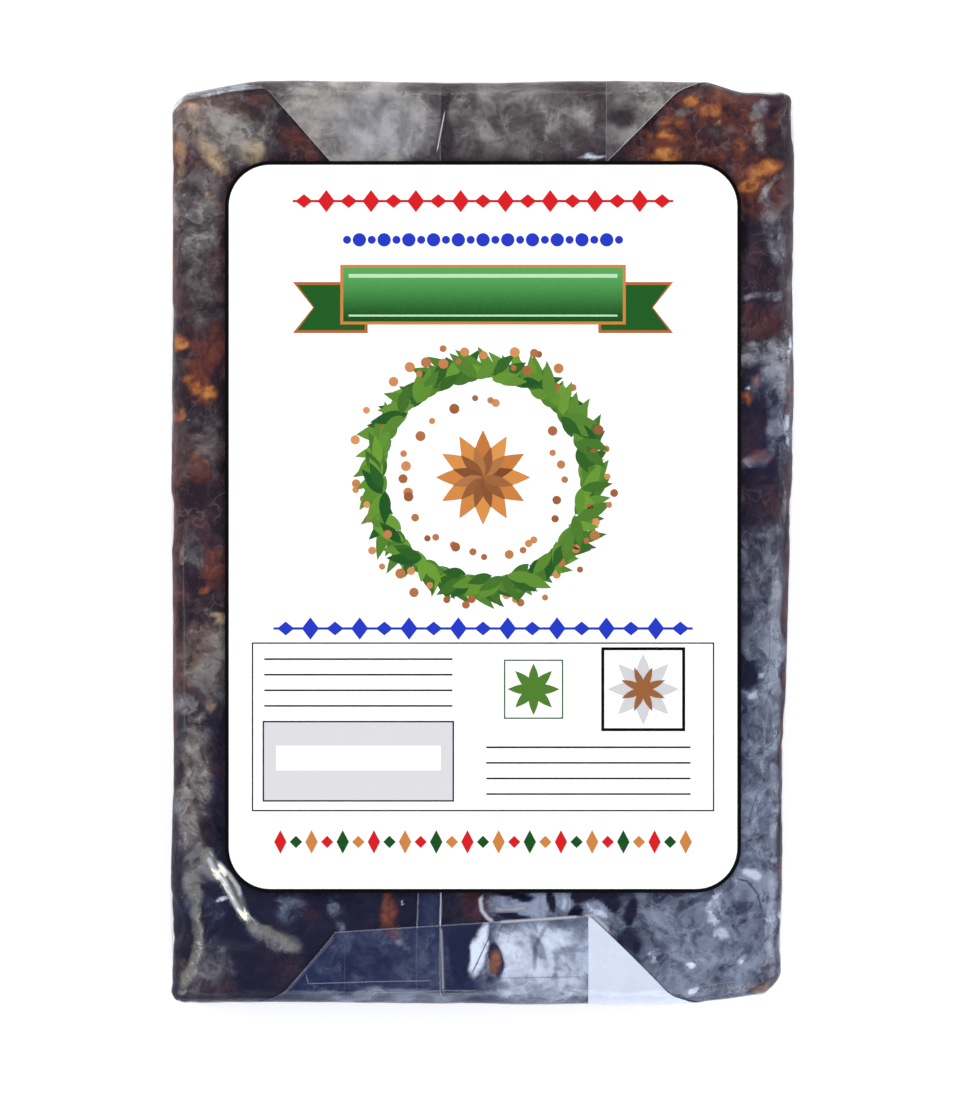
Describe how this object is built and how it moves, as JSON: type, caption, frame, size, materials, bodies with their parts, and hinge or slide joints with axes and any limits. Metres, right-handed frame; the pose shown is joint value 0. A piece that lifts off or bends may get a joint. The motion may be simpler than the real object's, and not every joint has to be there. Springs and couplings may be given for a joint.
{
  "type": "film-wrapped brick of tamarind pulp",
  "caption": "Pressed rectangular brick of dark tamarind pulp, folded shut in clear glossy film like a parcel, with a large white round-cornered paper label on its front.",
  "frame": {"origin": "middle of the box round the part, at the flat back that the brick lies on", "axes": "+Y up the label, the brick's longest side; +X across the label to its right; +Z through the thickness, out of the label"},
  "size_m": [0.1167, 0.1728, 0.0203],
  "materials": {
    "tamarind_pulp": "satin",
    "clear_film": "gloss",
    "label_paper": "satin"
  },
  "bodies": {
    "root": {"pulp_block": "tamarind_pulp", "film_wrap": "clear_film", "label": "label_paper"}
  },
  "joints": []
}
